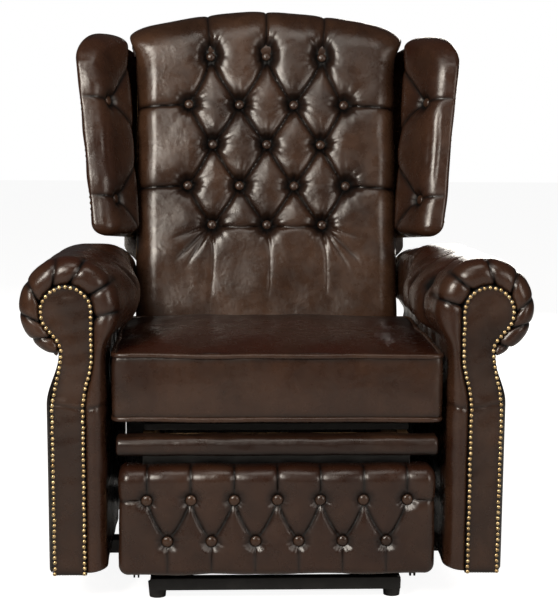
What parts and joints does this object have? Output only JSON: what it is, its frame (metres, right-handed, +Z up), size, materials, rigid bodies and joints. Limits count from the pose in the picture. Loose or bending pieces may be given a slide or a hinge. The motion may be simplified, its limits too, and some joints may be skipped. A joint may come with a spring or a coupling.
{
  "type": "recliner armchair",
  "caption": "Wing-back recliner armchair with deep-buttoned leather back, scroll arms, loose seat cushion, gliding seat and a pantograph footrest that folds out from under the seat.",
  "frame": {"origin": "on the floor, at the middle of the chair's footprint", "axes": "-Y is the direction the sitter faces, +X is the sitter's left, +Z is up"},
  "size_m": [0.9394, 0.8723, 1.1272],
  "materials": {
    "antique_brown_leather": "satin",
    "antique_brass": "satin",
    "beech": "matte",
    "black_platform_cloth": "matte",
    "black_steel": "satin",
    "black_plastic": "matte"
  },
  "bodies": {
    "base": {"arm_facing_left": "antique_brown_leather", "arm_facing_right": "antique_brown_leather", "arm_frame_left": "beech", "arm_frame_right": "beech", "arm_pad_left": "antique_brown_leather", "arm_pad_right": "antique_brown_leather", "base_plate_left": "black_steel", "base_plate_right": "black_steel", "cross_rail_front": "black_steel", "cross_rail_rear": "black_steel", "floor_runner_left": "black_steel", "floor_runner_right": "black_steel", "foot_front_left": "black_plastic", "foot_front_right": "black_plastic", "foot_rear_left": "black_plastic", "foot_rear_right": "black_plastic", "front_stretcher": "black_steel", "nail_strip_left": "antique_brass", "nail_strip_right": "antique_brass", "outside_arm_left": "antique_brown_leather", "outside_arm_right": "antique_brown_leather", "rear_apron": "antique_brown_leather"},
    "seat": {"seat_cushion": "antique_brown_leather", "seat_deck": "black_platform_cloth", "seat_front_roll": "antique_brown_leather", "seat_plate_left": "black_steel", "seat_plate_right": "black_steel", "seat_rail_front": "beech", "seat_rail_left": "beech", "seat_rail_rear": "beech", "seat_rail_right": "beech", "seat_springs": "black_steel"},
    "back": {"back_bracket_left": "black_steel", "back_bracket_right": "black_steel", "back_cushion": "antique_brown_leather", "back_rail_bottom": "beech", "back_rail_top": "beech", "back_stile_left": "beech", "back_stile_right": "beech", "outside_back": "antique_brown_leather", "wing_frame_left": "beech", "wing_frame_right": "beech", "wing_pad_left": "antique_brown_leather", "wing_pad_right": "antique_brown_leather"},
    "swing_links": {"swing_link_left": "black_steel", "swing_link_right": "black_steel"},
    "drive_links": {"drive_link_left": "black_steel", "drive_link_right": "black_steel", "torque_tube": "black_steel"},
    "guide_links": {"guide_link_left": "black_steel", "guide_link_right": "black_steel"},
    "long_links": {"long_link_left": "black_steel", "long_link_right": "black_steel"},
    "short_links": {"short_link_left": "black_steel", "short_link_right": "black_steel"},
    "footrest": {"footrest_board": "beech", "footrest_bracket_left": "black_steel", "footrest_bracket_right": "black_steel", "footrest_pad": "antique_brown_leather"}
  },
  "joints": [
    {"name": "seat_glide", "type": "slide", "parent": "base", "child": "seat", "axis": [0, -1, 0], "range_m": [0, 0.0601]},
    {"name": "back_recline", "type": "hinge", "parent": "seat", "child": "back", "pos_m": [0, 0.2, 0.32], "axis": [-1, 0, 0], "range_deg": [0, 35]},
    {"name": "swing_link_swing", "type": "hinge", "parent": "base", "child": "swing_links", "pos_m": [0, 0.12687, 0.11939], "axis": [1, 0, 0], "range_deg": [0, 50.4]},
    {"name": "footrest_extend", "type": "hinge", "parent": "seat", "child": "drive_links", "pos_m": [0, -0.325, 0.247], "axis": [-1, 0, 0], "range_deg": [0, 78]},
    {"name": "guide_link_swing", "type": "hinge", "parent": "seat", "child": "guide_links", "pos_m": [0, -0.30948, 0.18612], "axis": [-1, 0, 0], "range_deg": [0, 86.4]},
    {"name": "long_link_fold", "type": "hinge", "parent": "drive_links", "child": "long_links", "pos_m": [0, -0.31663, 0.08722], "axis": [1, 0, 0], "range_deg": [0, 141.1]},
    {"name": "short_link_fold", "type": "hinge", "parent": "drive_links", "child": "short_links", "pos_m": [0, -0.33776, 0.0419], "axis": [1, 0, 0], "range_deg": [0, 141.1]},
    {"name": "footrest_tilt", "type": "hinge", "parent": "long_links", "child": "footrest", "pos_m": [0, -0.30825, 0.247], "axis": [-1, 0, 0], "range_deg": [0, 141.1]}
  ],
  "couplings": [
    {"joint": "seat_glide", "follows": "back_recline", "m_per_rad": 0.098221},
    {"joint": "swing_link_swing", "follows": "back_recline", "ratio": 1.4385},
    {"joint": "guide_link_swing", "follows": "footrest_extend", "ratio": 1.1074},
    {"joint": "long_link_fold", "follows": "footrest_extend", "ratio": 1.8077},
    {"joint": "short_link_fold", "follows": "footrest_extend", "ratio": 1.8077},
    {"joint": "footrest_tilt", "follows": "footrest_extend", "ratio": 1.8077}
  ]
}
